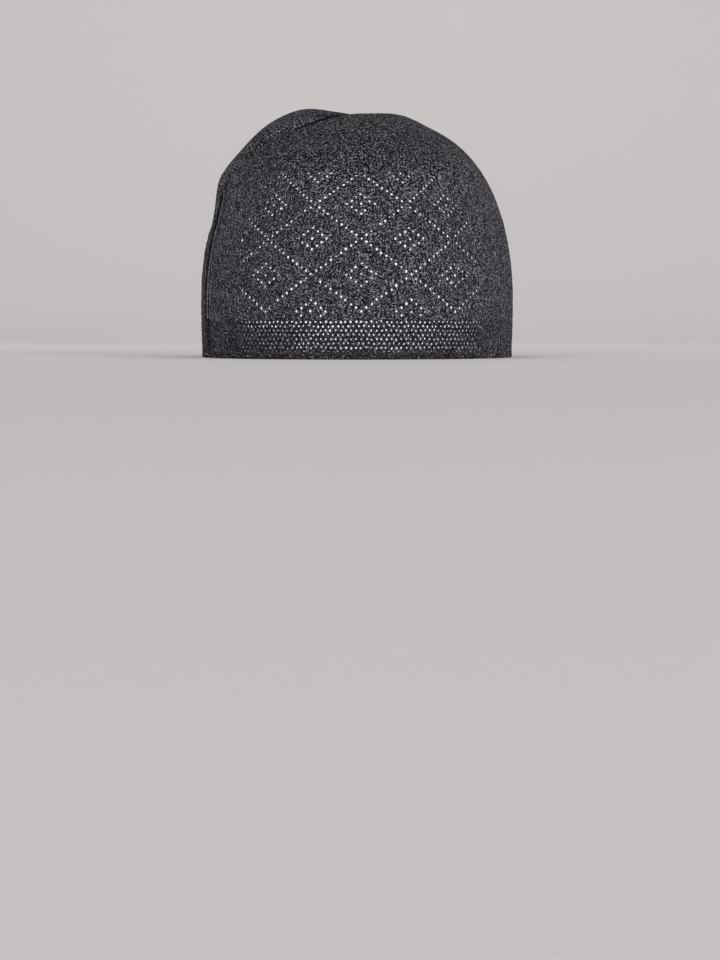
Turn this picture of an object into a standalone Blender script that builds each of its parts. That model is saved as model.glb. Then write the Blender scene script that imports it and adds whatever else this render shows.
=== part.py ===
"""Knitted prayer cap: a soft crown closed by one seam, a netted band and a turned hem.

Metres, +Z up. The origin lies in the middle of the rim, on the surface that the cap rests on.
The front of the cap faces -Y, and the wearer's right side is -X.
"""
from bisect import bisect_right
from collections import namedtuple
from math import atan2, cos, exp, hypot, pi, radians, sin

import bmesh
import bpy
from mathutils import Vector

# Outside sizes of the whole cap
CAP_WIDTH = 0.158
CAP_LENGTH = 0.196
CAP_HEIGHT = 0.1215
WIDEST_HEIGHT = 0.026
RIM_TUCK = 0.0008

# Shape numbers without a length. A squareness of 2 gives an elliptic dome, more a squarer
# shoulder. BACK_FULLNESS widens the back of the plan and narrows its front by that share.
DOME_SQUARENESS = 2.3
BACK_FULLNESS = 0.04

# The cloth and its pieces
KNIT_WALL = 0.0016
BAND_HEIGHT = 0.0160
HEM_HEIGHT = 0.0022
HEM_WALL = 0.0026
HEM_ROUNDING = 0.0005
HEM_OUTWARD_SHARE = 0.15  # share of the hem's wall that stands outside the band
PIECE_GAP = 0.0003

# The seam that closes the crown, and the puffed cloth beside it
SEAM_CENTRE_FORWARD = 0.008
SEAM_DEPTH = 0.008
SEAM_HALF_WIDTH = 0.010
PUFF_LIFT = 0.006

# Mesh counts, and how much closer the columns stand beside the left seam
COLUMNS = 80
CROWN_RINGS = 24
BAND_RINGS = 3
PROFILE_STEPS = 160
SEAM_CROWDING = 0.45
CENTRE_REACH = 0.001  # the middle of the crown, where the slope is read off a little aside

# The seam, a row for each place along it, from the crown centre (share 0) to the rim (share 1).
# turn is in degrees from the front, with the left of the front view negative.
# depth is a share of SEAM_DEPTH and width a share of SEAM_HALF_WIDTH.
SeamRow = namedtuple("SeamRow", "share turn depth width")
LEFT_SEAM = (
    SeamRow(0.00, -28, 0.40, 0.80),
    SeamRow(0.12, -33, 0.55, 0.80),
    SeamRow(0.19, -41, 0.65, 0.80),
    SeamRow(0.25, -49, 0.75, 0.85),
    SeamRow(0.29, -59, 0.90, 0.88),
    SeamRow(0.33, -67, 1.00, 0.90),
    SeamRow(0.39, -70, 0.94, 0.90),
    SeamRow(0.45, -74, 0.55, 0.90),
    SeamRow(0.50, -74, 0.55, 0.80),
    SeamRow(0.55, -71, 0.60, 0.70),
    SeamRow(0.60, -70, 0.45, 0.70),
    SeamRow(0.70, -72, 0.32, 0.70),
    SeamRow(1.00, -72, 0.25, 0.70),
)
RIGHT_SEAM = (
    SeamRow(0.00, 100, 0.40, 0.80),
    SeamRow(0.12, 95, 0.35, 0.80),
    SeamRow(0.30, 90, 0.00, 0.80),
    SeamRow(1.00, 90, 0.00, 0.80),
)

# Puffs and hollows, a row each. across and back are places on the cap spread flat round the
# crown centre, as shares of the way to the rim; reach says how far each spreads, in the same
# shares; lift is a share of PUFF_LIFT, below zero for a hollow.
PuffRow = namedtuple("PuffRow", "across back reach_across reach_back lift")
PUFFS = (
    PuffRow(-0.27, 0.04, 0.16, 0.20, 1.10),
    PuffRow(-0.15, 0.06, 0.08, 0.12, 0.45),
    PuffRow(-0.48, 0.00, 0.09, 0.22, 0.65),
    PuffRow(-0.58, 0.02, 0.06, 0.14, -0.25),
    PuffRow(0.14, -0.10, 0.09, 0.10, 0.35),
    PuffRow(0.23, -0.12, 0.06, 0.10, -0.10),
    PuffRow(0.38, 0.00, 0.18, 0.26, 0.25),
    PuffRow(0.10, 0.20, 0.14, 0.16, -0.30),
)

CHARCOAL = (0.050, 0.047, 0.058, 1.0)
BAND_CHARCOAL = (0.040, 0.038, 0.047, 1.0)
HEM_CHARCOAL = (0.034, 0.032, 0.040, 1.0)
KNIT_ROUGHNESS = 0.9


def clear_scene():
    """Start from an empty scene."""
    for old in list(bpy.data.objects):
        bpy.data.objects.remove(old, do_unlink=True)


def dome_height(reach):
    """Height of the smooth dome where reach is 0 at the middle of the crown and 1 at its widest."""
    rise = max(0.0, 1.0 - min(1.0, reach) ** DOME_SQUARENESS) ** (1.0 / DOME_SQUARENESS)
    return WIDEST_HEIGHT + (CAP_HEIGHT - WIDEST_HEIGHT) * rise


def wall_reach(height):
    """Reach of the upright side below its widest line, where it draws in towards the rim."""
    drop = 1.0 - min(1.0, height / WIDEST_HEIGHT)
    return 1.0 - RIM_TUCK / (CAP_WIDTH / 2) * drop ** 2


def profile_line():
    """The cap's side line from crown centre to rim, as (share of its length, reach, height)."""
    points = []
    for step in range(PROFILE_STEPS + 1):
        angle = step / PROFILE_STEPS * pi / 2
        reach = sin(angle) ** (2.0 / DOME_SQUARENESS)
        points.append((reach, dome_height(reach)))
    points.append((wall_reach(WIDEST_HEIGHT / 2), WIDEST_HEIGHT / 2))
    points.append((wall_reach(0.0), 0.0))
    mean_radius = (CAP_WIDTH + CAP_LENGTH) / 4
    lengths = [0.0]
    for (reach_a, height_a), (reach_b, height_b) in zip(points, points[1:]):
        lengths.append(lengths[-1] + hypot((reach_b - reach_a) * mean_radius, height_b - height_a))
    return [(length / lengths[-1], reach, height)
            for length, (reach, height) in zip(lengths, points)]


PROFILE = profile_line()
PROFILE_SHARES = [row[0] for row in PROFILE]


def profile_at(share):
    """Reach and height at a share of the way from the crown centre to the rim."""
    upper = min(max(bisect_right(PROFILE_SHARES, share), 1), len(PROFILE) - 1)
    (share_a, reach_a, height_a), (share_b, reach_b, height_b) = PROFILE[upper - 1], PROFILE[upper]
    blend = (share - share_a) / (share_b - share_a)
    return reach_a + (reach_b - reach_a) * blend, height_a + (height_b - height_a) * blend


def share_at(height):
    """Share of the way to the rim at a height on the lower wall, the other way round."""
    for (share_a, _, height_a), (share_b, _, height_b) in zip(PROFILE, PROFILE[1:]):
        if height_a >= height >= height_b and height_a > height_b:
            return share_a + (share_b - share_a) * (height_a - height) / (height_a - height_b)
    return 1.0


def seam_at(rows, share):
    """Turn in radians, depth and half width of a seam at a share of the way to the rim."""
    for low, high in zip(rows, rows[1:]):
        if share <= high.share:
            break
    blend = min(1.0, (share - low.share) / (high.share - low.share))
    blend = blend * blend * (3.0 - 2.0 * blend)
    turn, depth, width = (a + (b - a) * blend for a, b in zip(low[1:], high[1:]))
    return radians(turn), depth * SEAM_DEPTH, width * SEAM_HALF_WIDTH


def column_turn(column_angle, share):
    """Turn of a mesh column: column 0 follows the left seam and the opposite one the right seam."""
    crowded = column_angle - SEAM_CROWDING * sin(column_angle)
    left = seam_at(LEFT_SEAM, share)[0]
    right = seam_at(RIGHT_SEAM, share)[0] - pi
    nearness = (1.0 + cos(crowded)) / 2
    return crowded + left * nearness + right * (1.0 - nearness)


def groove(turn, share, radius):
    """How deep the seam draws the cloth in at a place."""
    depth = 0.0
    for rows in (LEFT_SEAM, RIGHT_SEAM):
        seam_turn, seam_depth, half_width = seam_at(rows, share)
        apart = abs(atan2(sin(turn - seam_turn), cos(turn - seam_turn))) * radius
        depth = max(depth, seam_depth * max(0.0, 1.0 - apart / half_width) ** 2)
    return depth


def puff(turn, share):
    """How far the puffs lift the cloth at a place."""
    across, back = share * sin(turn), -share * cos(turn)
    lift = 0.0
    for row in PUFFS:
        away = hypot((across - row.across) / row.reach_across, (back - row.back) / row.reach_back)
        lift += row.lift * PUFF_LIFT * exp(-away * away)
    return lift


def outward(x, y, reach, height):
    """Unit normal of the smooth cap at a point of it."""
    rise = max(0.0, height - WIDEST_HEIGHT) / (CAP_HEIGHT - WIDEST_HEIGHT)
    slope = max(reach, CENTRE_REACH) ** (DOME_SQUARENESS - 2.0)
    normal = Vector((
        slope * x / (CAP_WIDTH / 2) ** 2,
        slope * y / (CAP_LENGTH / 2) ** 2,
        rise ** (DOME_SQUARENESS - 1.0) / (CAP_HEIGHT - WIDEST_HEIGHT),
    ))
    return normal.normalized()


def outer_point(column_angle, share):
    """Point on the outside of the cap, with its seam and puffs."""
    turn = column_turn(column_angle, share)
    reach, height = profile_at(share)
    x = reach * CAP_WIDTH / 2 * sin(turn)
    y = -reach * CAP_LENGTH / 2 * cos(turn)
    if height > WIDEST_HEIGHT:
        y -= SEAM_CENTRE_FORWARD * (1.0 - reach)
        reach_here = hypot(x / (CAP_WIDTH / 2), y / (CAP_LENGTH / 2))
        height = dome_height(reach_here)
    else:
        reach_here = reach
    radius = reach * (CAP_WIDTH + CAP_LENGTH) / 4
    moved = puff(turn, share) - groove(turn, share, radius)
    point = Vector((x, y, height)) + outward(x, y, reach_here, height) * moved
    point.x *= 1.0 + BACK_FULLNESS * point.y / (CAP_LENGTH / 2)
    return point


def flat_rings(bm, shares, closed_middle):
    """Draw rings of points in the flat, one at each share, joined by faces that look up."""
    bmesh.ops.create_circle(bm, cap_ends=closed_middle, cap_tris=closed_middle,
                            segments=COLUMNS, radius=shares[0])
    outer_edges = [edge for edge in bm.edges if len(edge.link_faces) < 2]
    for before, share in zip(shares, shares[1:]):
        new = bmesh.ops.extrude_edge_only(bm, edges=outer_edges)["geom"]
        verts = [item for item in new if isinstance(item, bmesh.types.BMVert)]
        bmesh.ops.scale(bm, vec=Vector((share / before, share / before, 1.0)), verts=verts)
        outer_edges = [item for item in new if isinstance(item, bmesh.types.BMEdge)
                       and all(vert in verts for vert in item.verts)]
    bm.normal_update()
    looking_down = [face for face in bm.faces if face.normal.z < 0.0]
    bmesh.ops.reverse_faces(bm, faces=looking_down)


def cloth_material(name, colour):
    """Plain matt knit."""
    material = bpy.data.materials.new(name)
    material.use_nodes = True
    shader = material.node_tree.nodes["Principled BSDF"]
    shader.inputs["Base Color"].default_value = colour
    shader.inputs["Roughness"].default_value = KNIT_ROUGHNESS
    shader.inputs["Metallic"].default_value = 0.0
    return material


def cloth_object(name, bm, wall, offset, colour, collection, parent):
    """Turn an open surface into a sewn piece with a wall, hung on the cap's own empty."""
    mesh = bpy.data.meshes.new(name)
    bm.to_mesh(mesh)
    bm.free()
    mesh.materials.append(cloth_material(name + "_knit", colour))
    mesh.shade_smooth()
    piece = bpy.data.objects.new(name, mesh)
    collection.objects.link(piece)
    piece.parent = parent
    solidify = piece.modifiers.new("cloth wall", "SOLIDIFY")
    solidify.thickness = wall
    solidify.offset = offset
    solidify.use_even_offset = True
    return piece


def drape(bm):
    """Lift the flat rings onto the cap: the angle picks the column and the radius the share."""
    for vert in bm.verts:
        vert.co = outer_point(atan2(-vert.co.x, vert.co.y), vert.co.length)


def build_crown(collection, parent):
    """Plain-knit sides and top, closed by the seam."""
    lowest = share_at(HEM_HEIGHT + BAND_HEIGHT + 2 * PIECE_GAP)
    shares = [lowest * ring / CROWN_RINGS for ring in range(1, CROWN_RINGS + 1)]
    bm = bmesh.new()
    flat_rings(bm, shares, closed_middle=True)
    drape(bm)
    cloth_object("crown", bm, KNIT_WALL, -1.0, CHARCOAL, collection, parent)


def build_band(collection, parent):
    """Netted band between crown and hem."""
    top = HEM_HEIGHT + PIECE_GAP + BAND_HEIGHT
    shares = [share_at(top - BAND_HEIGHT * ring / BAND_RINGS) for ring in range(BAND_RINGS + 1)]
    bm = bmesh.new()
    flat_rings(bm, shares, closed_middle=False)
    drape(bm)
    cloth_object("eyelet_band", bm, KNIT_WALL, -1.0, BAND_CHARCOAL, collection, parent)


def build_hem(collection, parent):
    """Turned edge of double cloth. Its sides stand upright, so that its underside is flat."""
    bm = bmesh.new()
    flat_rings(bm, [share_at(HEM_HEIGHT), 1.0], closed_middle=False)
    for vert in bm.verts:
        level = 0.0 if vert.co.length > share_at(HEM_HEIGHT / 2) else HEM_HEIGHT
        vert.co = outer_point(atan2(-vert.co.x, vert.co.y), 1.0)
        vert.co.z = level
    outward_offset = 2 * HEM_OUTWARD_SHARE - 1.0
    hem = cloth_object("rim_hem", bm, HEM_WALL, outward_offset, HEM_CHARCOAL, collection, parent)
    bevel = hem.modifiers.new("soft edges", "BEVEL")
    bevel.width = HEM_ROUNDING
    bevel.segments = 1
    bevel.limit_method = "ANGLE"
    bevel.angle_limit = pi / 4


def main():
    """Build the cap."""
    clear_scene()
    collection = bpy.data.collections.new("prayer_cap")
    bpy.context.scene.collection.children.link(collection)
    parent = bpy.data.objects.new("prayer_cap", None)
    collection.objects.link(parent)
    build_crown(collection, parent)
    build_band(collection, parent)
    build_hem(collection, parent)


main()
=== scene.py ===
"""Knitted prayer cap at rest on a pale floor: pierced crown, netted band, turned hem and stitched seam.

Metres, +Z up, the front of the cap towards -Y.
"""
from collections import namedtuple
from math import atan, cos, pi, radians, sin

import bpy
import numpy as np
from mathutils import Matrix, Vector


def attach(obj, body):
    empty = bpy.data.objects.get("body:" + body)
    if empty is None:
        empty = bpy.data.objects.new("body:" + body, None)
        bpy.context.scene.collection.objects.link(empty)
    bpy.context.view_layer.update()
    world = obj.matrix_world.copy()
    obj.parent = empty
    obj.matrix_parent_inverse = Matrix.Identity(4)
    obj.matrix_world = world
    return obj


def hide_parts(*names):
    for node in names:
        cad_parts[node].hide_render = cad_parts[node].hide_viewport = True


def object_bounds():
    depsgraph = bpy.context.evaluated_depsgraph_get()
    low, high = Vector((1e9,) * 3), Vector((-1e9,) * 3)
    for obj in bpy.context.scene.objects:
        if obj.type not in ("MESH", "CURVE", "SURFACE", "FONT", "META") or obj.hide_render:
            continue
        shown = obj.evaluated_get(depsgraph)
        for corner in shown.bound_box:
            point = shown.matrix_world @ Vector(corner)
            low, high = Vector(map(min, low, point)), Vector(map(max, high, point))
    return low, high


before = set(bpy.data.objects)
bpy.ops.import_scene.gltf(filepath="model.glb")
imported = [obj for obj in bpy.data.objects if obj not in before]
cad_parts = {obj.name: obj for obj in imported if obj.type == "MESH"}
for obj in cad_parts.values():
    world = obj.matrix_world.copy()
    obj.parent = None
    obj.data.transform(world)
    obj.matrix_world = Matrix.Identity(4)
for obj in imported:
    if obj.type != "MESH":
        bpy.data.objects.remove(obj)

cad_low, cad_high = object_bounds()


# The crown's form
# The real crown is a soft knitted tube, closed over the top by one seam from left to right. Pulled
# on, it makes a squarish dome; the seam's left end is a creased fold with puffed cloth behind it.

half_width = (cad_high.x - cad_low.x) / 2
half_length = (cad_high.y - cad_low.y) / 2
mean_radius = (half_width + half_length) / 2
CROWN_SHARE_OF_HEIGHT = 0.971  # the puffed cloth stands above the smooth crown
crown_height = cad_high.z * CROWN_SHARE_OF_HEIGHT
WIDEST_HEIGHT = 0.026
RIM_TUCK = 0.0008
DOME_SQUARENESS = 2.3
BACK_FULLNESS = 0.04
SEAM_CENTRE_FORWARD = 0.008
SEAM_DEPTH = 0.008
SEAM_HALF_WIDTH = 0.010
PINCH_DEPTH = 0.0034
PINCH_HALF_WIDTH = 0.0016
# The shade painted into the fold reaches less far on the seam's front side
PAINTED_SHADE_IN_FRONT = 0.7  # of the shade's reach behind the seam
PUFF_LIFT = 0.006

# A row for each place along the seam: share of the way from crown centre to rim, turn in degrees
# from the front, depth and width of its furrow, depth of the pinch that the stitches pull in, how
# dark the shade painted into the fold is, and how far that painted shade reaches behind it, as a
# share of the furrow's half width
SeamRow = namedtuple("SeamRow", "share turn depth width pinch shade shade_reach")
LEFT_SEAM = (
    SeamRow(0.00, -28, 0.40, 0.80, 0.5, 0.6, 0.60),
    SeamRow(0.12, -33, 0.55, 0.80, 0.9, 1.8, 0.60),
    SeamRow(0.19, -41, 0.65, 0.80, 0.9, 1.6, 0.52),
    SeamRow(0.25, -49, 0.75, 0.85, 0.8, 1.3, 0.44),
    SeamRow(0.29, -59, 0.90, 0.88, 0.9, 1.4, 0.34),
    SeamRow(0.33, -67, 1.00, 0.90, 1.2, 1.8, 0.32),
    SeamRow(0.39, -70, 0.94, 0.90, 1.2, 1.8, 0.32),
    SeamRow(0.42, -73, 0.72, 0.90, 0.6, 0.8, 0.30),
    SeamRow(0.45, -74, 0.55, 0.90, 0.6, 0.4, 0.45),
    SeamRow(0.50, -74, 0.55, 0.80, 0.8, 0.6, 0.60),
    SeamRow(0.55, -71, 0.60, 0.70, 1.0, 2.0, 0.72),
    SeamRow(0.60, -70, 0.45, 0.70, 1.0, 2.0, 0.80),
    SeamRow(0.65, -71, 0.38, 0.70, 0.9, 1.2, 0.95),
    SeamRow(0.85, -72, 0.28, 0.70, 0.8, 1.0, 1.00),
    SeamRow(1.00, -72, 0.25, 0.70, 0.2, 0.5, 0.70),
)
RIGHT_SEAM = (
    SeamRow(0.00, 100, 0.40, 0.80, 0.4, 0.5, 0.60),
    SeamRow(0.12, 95, 0.35, 0.80, 0.5, 0.6, 0.60),
    SeamRow(0.30, 90, 0.00, 0.80, 0.4, 0.5, 0.50),
    SeamRow(0.50, 90, 0.00, 0.80, 0.0, 0.0, 0.50),
    SeamRow(1.00, 90, 0.00, 0.80, 0.0, 0.0, 0.50),
)

# Puffs and hollows, on the cap spread flat round the crown centre; lift is a share of PUFF_LIFT
PuffRow = namedtuple("PuffRow", "across back reach_across reach_back lift")
PUFFS = (
    PuffRow(-0.27, 0.04, 0.16, 0.20, 1.10),
    PuffRow(-0.15, 0.06, 0.08, 0.12, 0.45),
    PuffRow(-0.48, 0.00, 0.09, 0.22, 0.65),
    PuffRow(-0.58, 0.02, 0.06, 0.14, -0.25),
    PuffRow(0.14, -0.10, 0.09, 0.10, 0.35),
    PuffRow(0.23, -0.12, 0.06, 0.10, -0.10),
    PuffRow(0.38, 0.00, 0.18, 0.26, 0.25),
    PuffRow(0.10, 0.20, 0.14, 0.16, -0.30),
)
PROFILE_STEPS = 400


def dome_height(reach):
    """Height of the smooth dome, with reach 0 at the middle of the crown and 1 at its widest."""
    rise = (1.0 - np.clip(reach, 0.0, 1.0) ** DOME_SQUARENESS) ** (1.0 / DOME_SQUARENESS)
    return WIDEST_HEIGHT + (crown_height - WIDEST_HEIGHT) * rise


def side_line():
    """The cap's side line from crown centre to rim: share of its length, reach and height."""
    angle = np.linspace(0.0, pi / 2, PROFILE_STEPS)
    reach = np.sin(angle) ** (2.0 / DOME_SQUARENESS)
    drop = np.linspace(0.0, 1.0, PROFILE_STEPS // 4)[1:]
    line_reach = np.concatenate([reach, 1.0 - RIM_TUCK / half_width * drop ** 2])
    line_height = np.concatenate([dome_height(reach), WIDEST_HEIGHT * (1.0 - drop)])
    steps = np.hypot(np.diff(line_reach) * mean_radius, np.diff(line_height))
    length = np.concatenate([[0.0], np.cumsum(steps)])
    return length / length[-1], line_reach, line_height, length[-1]


line_share, line_reach, line_height, line_length = side_line()


def share_at(height):
    """Share of the way to the rim at a height on the side of the cap."""
    return np.interp(-np.asarray(height, float), -line_height, line_share)


def along_seam(rows, share):
    """Rows of a seam table read at any shares, eased from row to row."""
    table = np.array(rows, float)
    low = np.clip(np.searchsorted(table[:, 0], share) - 1, 0, len(table) - 2)
    blend = np.clip((share - table[low, 0]) / (table[low + 1, 0] - table[low, 0]), 0.0, 1.0)
    blend = (blend * blend * (3.0 - 2.0 * blend))[:, None]
    return (table[low] + (table[low + 1] - table[low]) * blend).T


def seam_distance(rows, turn, share, radius):
    """Distance from a seam, positive on its front side, with what its rows say at each share."""
    _, seam_turn, depth, width, pinch, shade, shade_reach = along_seam(rows, share)
    apart = turn - np.radians(seam_turn)
    apart = np.arctan2(np.sin(apart), np.cos(apart)) * radius
    front = 1.0 if rows is LEFT_SEAM else -1.0
    width = width * SEAM_HALF_WIDTH
    return apart * front, depth, width, pinch, shade, width * shade_reach


def furrow(turn, share, radius):
    """How deep the seams draw the cloth in."""
    draw = np.zeros_like(share)
    for rows in (LEFT_SEAM, RIGHT_SEAM):
        apart, depth, width, pinch, _, _ = seam_distance(rows, turn, share, radius)
        soft = np.clip(1.0 - np.abs(apart) / width, 0.0, None) ** 2
        sharp = np.clip(1.0 - np.abs(apart) / PINCH_HALF_WIDTH, 0.0, None)
        draw = np.maximum(draw, depth * SEAM_DEPTH * soft + pinch * PINCH_DEPTH * sharp)
    return draw


def painted_seam_shade(turn, share):
    """How far each point lies in the shade painted into a seam's fold, from 0 to 1."""
    radius = np.interp(share, line_share, line_reach) * mean_radius
    dark = np.zeros_like(share)
    for rows in (LEFT_SEAM, RIGHT_SEAM):
        apart, _, _, _, shade, reach = seam_distance(rows, turn, share, radius)
        reach = reach * np.where(apart < 0.0, 1.0, PAINTED_SHADE_IN_FRONT)
        dark = np.maximum(dark, shade * np.clip(1.0 - np.abs(apart) / reach, 0.0, None))
    return np.clip(dark, 0.0, 1.0)


def puff(turn, share):
    """How far the puffs lift the cloth."""
    across, back = share * np.sin(turn), -share * np.cos(turn)
    lift = np.zeros_like(share)
    for row in PUFFS:
        away = ((across - row.across) / row.reach_across) ** 2 + ((back - row.back) / row.reach_back) ** 2
        lift += row.lift * PUFF_LIFT * np.exp(-away)
    return lift


def cap_point(turn, share):
    """Points on the outside of the cap at turns from the front and shares of the way to the rim."""
    turn, share = np.broadcast_arrays(np.asarray(turn, float), np.asarray(share, float))
    reach = np.interp(share, line_share, line_reach)
    height = np.interp(share, line_share, line_height)
    on_dome = height > WIDEST_HEIGHT
    x = reach * half_width * np.sin(turn)
    y = -reach * half_length * np.cos(turn)
    y = np.where(on_dome, y - SEAM_CENTRE_FORWARD * (1.0 - reach), y)
    reach_here = np.where(on_dome, np.hypot(x / half_width, y / half_length), reach)
    z = np.where(on_dome, dome_height(reach_here), height)
    rise = np.clip(z - WIDEST_HEIGHT, 0.0, None) / (crown_height - WIDEST_HEIGHT)
    slope = np.clip(reach_here, 0.001, None) ** (DOME_SQUARENESS - 2.0)
    normal = np.stack([slope * x / half_width ** 2, slope * y / half_length ** 2,
                       rise ** (DOME_SQUARENESS - 1.0) / (crown_height - WIDEST_HEIGHT)], axis=-1)
    normal /= np.linalg.norm(normal, axis=-1, keepdims=True)
    moved = puff(turn, share) - furrow(turn, share, reach * mean_radius)
    point = np.stack([x, y, z], axis=-1) + normal * moved[:, None]
    point[:, 0] *= 1.0 + BACK_FULLNESS * point[:, 1] / half_length
    return point


# The pierced crown
# The knit has a lattice of eyelets round the sides, ten diamonds round the cap and two high, with
# a small diamond of eyelets in each. Each eyelet is a stitch dropped on purpose in a single wall.

COLUMNS = 200  # pairs of stitches round the cap
DIAMONDS = 10
HALF_DIAMOND = COLUMNS // DIAMONDS // 2
FIRST_COLUMN_TURN = radians(1.5)
LOWEST_CROSSING_HEIGHT = 0.0223
ROW_PITCH = 0.00176
BAND_TOP_HEIGHT = 0.01845
LOWEST_ROW, LATTICE_ROWS = -1, 40
CLOTH_WALL = 0.0009
HOLE_EDGE_SHARE = 0.35  # the cloth thins to a single yarn at an eyelet
LATTICE_HOLE_RADIUS = 0.00062
SIZE_SPREAD = 0.12
SMALLEST_SIZE, LARGEST_SIZE = 0.7, 1.25
PLACE_SPREAD = 0.00018
POLE_SHARE = 0.012
MOTIF_REACH = 3
RANDOM_SEED = 7
SEAM_CROWDING = 0.62
CROWDING_REACH = radians(13)
SIDE_FOLD_TURN = radians(-73)
FINE_REACH = radians(22)


def is_lattice_eyelet(column, row):
    """The chart: crossing diagonals, and a ring of eyelets with one in its middle in each diamond."""
    if row < LOWEST_ROW or row > LATTICE_ROWS:
        return False
    step = column % (2 * HALF_DIAMOND)
    aside = min(step, 2 * HALF_DIAMOND - step)
    rise = row % (2 * HALF_DIAMOND)
    above = min(rise, 2 * HALF_DIAMOND - rise)
    if row >= 0 and aside == above:
        return True
    for middle_aside, middle_above in ((0, HALF_DIAMOND), (HALF_DIAMOND, 0)):
        away = abs(aside - middle_aside) + abs(above - middle_above)
        if away in (0, MOTIF_REACH):
            return True
    return False


def turn_of(column, share):
    """Turn from the front of a column of stitches, which crowd together towards the seam."""
    turn = FIRST_COLUMN_TURN + np.asarray(column, float) * 2 * pi / COLUMNS
    share = np.broadcast_to(np.asarray(share, float), turn.shape)
    shift = np.zeros_like(turn)
    for rows in (LEFT_SEAM, RIGHT_SEAM):
        away = turn - np.radians(along_seam(rows, share)[1])
        away = np.arctan2(np.sin(away), np.cos(away))
        shift -= SEAM_CROWDING * away * np.exp(-(away / CROWDING_REACH) ** 2)
    return turn + shift


class ClothChart:
    """A sheet of cells, plain or pierced, drawn in columns and levels and then laid on the cap."""

    def __init__(self):
        self.chance = np.random.default_rng(RANDOM_SEED)
        self.keys = {}
        self.columns, self.shares = [], []
        self.faces, self.corners = [], []
        self.eyelets, self.edge_points = [], []

    def point(self, half_column, level, share):
        """A shared corner point, at a half column round the cap and a named level."""
        key = (half_column % (2 * COLUMNS), level)
        if key not in self.keys:
            self.keys[key] = self.loose_point(half_column / 2, share)
        return self.keys[key], (half_column / 2, share)

    def loose_point(self, column, share):
        self.columns.append(column)
        self.shares.append(share)
        return len(self.columns) - 1

    def face(self, points):
        self.faces.append([index for index, _ in points])
        self.corners.append([place for _, place in points])

    def pierced_cell(self, outline, column, share, hole_radius):
        """A cell of eight outline points round an eight-sided hole."""
        column_pitch = 2 * pi / COLUMNS * mean_radius * np.interp(share, line_share, line_reach)
        column += self.chance.normal(0.0, PLACE_SPREAD) / column_pitch
        share += self.chance.normal(0.0, PLACE_SPREAD) / line_length
        size = float(np.clip(self.chance.normal(1.0, SIZE_SPREAD), SMALLEST_SIZE, LARGEST_SIZE))
        wide, high = hole_radius * size / column_pitch, hole_radius * size / line_length
        ring = []
        for side in range(8):
            angle = -3 * pi / 4 + side * pi / 4
            place = (column + wide * cos(angle), share - high * sin(angle))
            ring.append((self.loose_point(*place), place))
        self.edge_points += [index for index, _ in ring]
        for side in range(8):
            after = (side + 1) % 8
            self.face([outline[side], outline[after], ring[after], ring[side]])
        self.eyelets.append((column, share, size))

    def lay(self, name):
        """Lay the sheet on the cap as an open mesh, with its own map of columns and lengths."""
        turns, shares = turn_of(self.columns, self.shares), np.array(self.shares)
        mesh = bpy.data.meshes.new(name)
        mesh.from_pydata(cap_point(turns, shares).tolist(), [], self.faces)
        # Kept on the cloth for its colour: how deep in the seam's fold each point lies, for painted shade,
        # and how far the puffs lift it, for painted light
        puffed = np.clip(puff(turns, shares) / PUFF_LIFT, 0.0, 1.0)
        for label, values in (("fold_painted_shade", painted_seam_shade(turns, shares)), ("puffed", puffed)):
            layer = mesh.attributes.new(label, "FLOAT", "POINT")
            layer.data.foreach_set("value", values.astype(np.float32))
        stitch_map = mesh.uv_layers.new(name="stitches")
        places = [np.stack(stitch_places(*zip(*corners)), axis=1) for corners in self.corners]
        stitch_map.data.foreach_set("uv", np.concatenate(places).astype(np.float32).ravel())
        return mesh


WALES_PER_COLUMN = 2
WALE_WIDTH = 0.0013
COURSE_PITCH = 0.00092
FLAT_TOP_SHARE = 0.33


def stitch_places(columns, shares):
    """Stitch coordinates of one face, in wales and courses: round the sides, straight on the top."""
    columns, shares = np.array(columns, float), np.array(shares, float)
    if shares.max() > FLAT_TOP_SHARE:
        return columns * WALES_PER_COLUMN, (1.0 - shares) * line_length / COURSE_PITCH
    turns = FIRST_COLUMN_TURN + columns * 2 * pi / COLUMNS
    return (shares * np.sin(turns) * line_length / WALE_WIDTH,
            (1.0 - shares * np.cos(turns)) * line_length / COURSE_PITCH)


def is_near_seam(column):
    """Columns beside the side fold, which are drawn finer."""
    away = FIRST_COLUMN_TURN + column * 2 * pi / COLUMNS - SIDE_FOLD_TURN
    return abs((away + pi) % (2 * pi) - pi) < FINE_REACH


def is_split(column, row):
    """Cells whose edges have middle points."""
    return is_near_seam(column) or is_lattice_eyelet(column % COLUMNS, row)


def cell_outline(centre, row):
    """The eight half columns and levels round a cell, from its lower left corner."""
    left, right = centre - 1, centre + 1
    low, middle, top = 2 * row, 2 * row + 1, 2 * row + 2
    return [(left, low), (centre, low), (right, low), (right, middle),
            (right, top), (centre, top), (left, top), (left, middle)]


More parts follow.
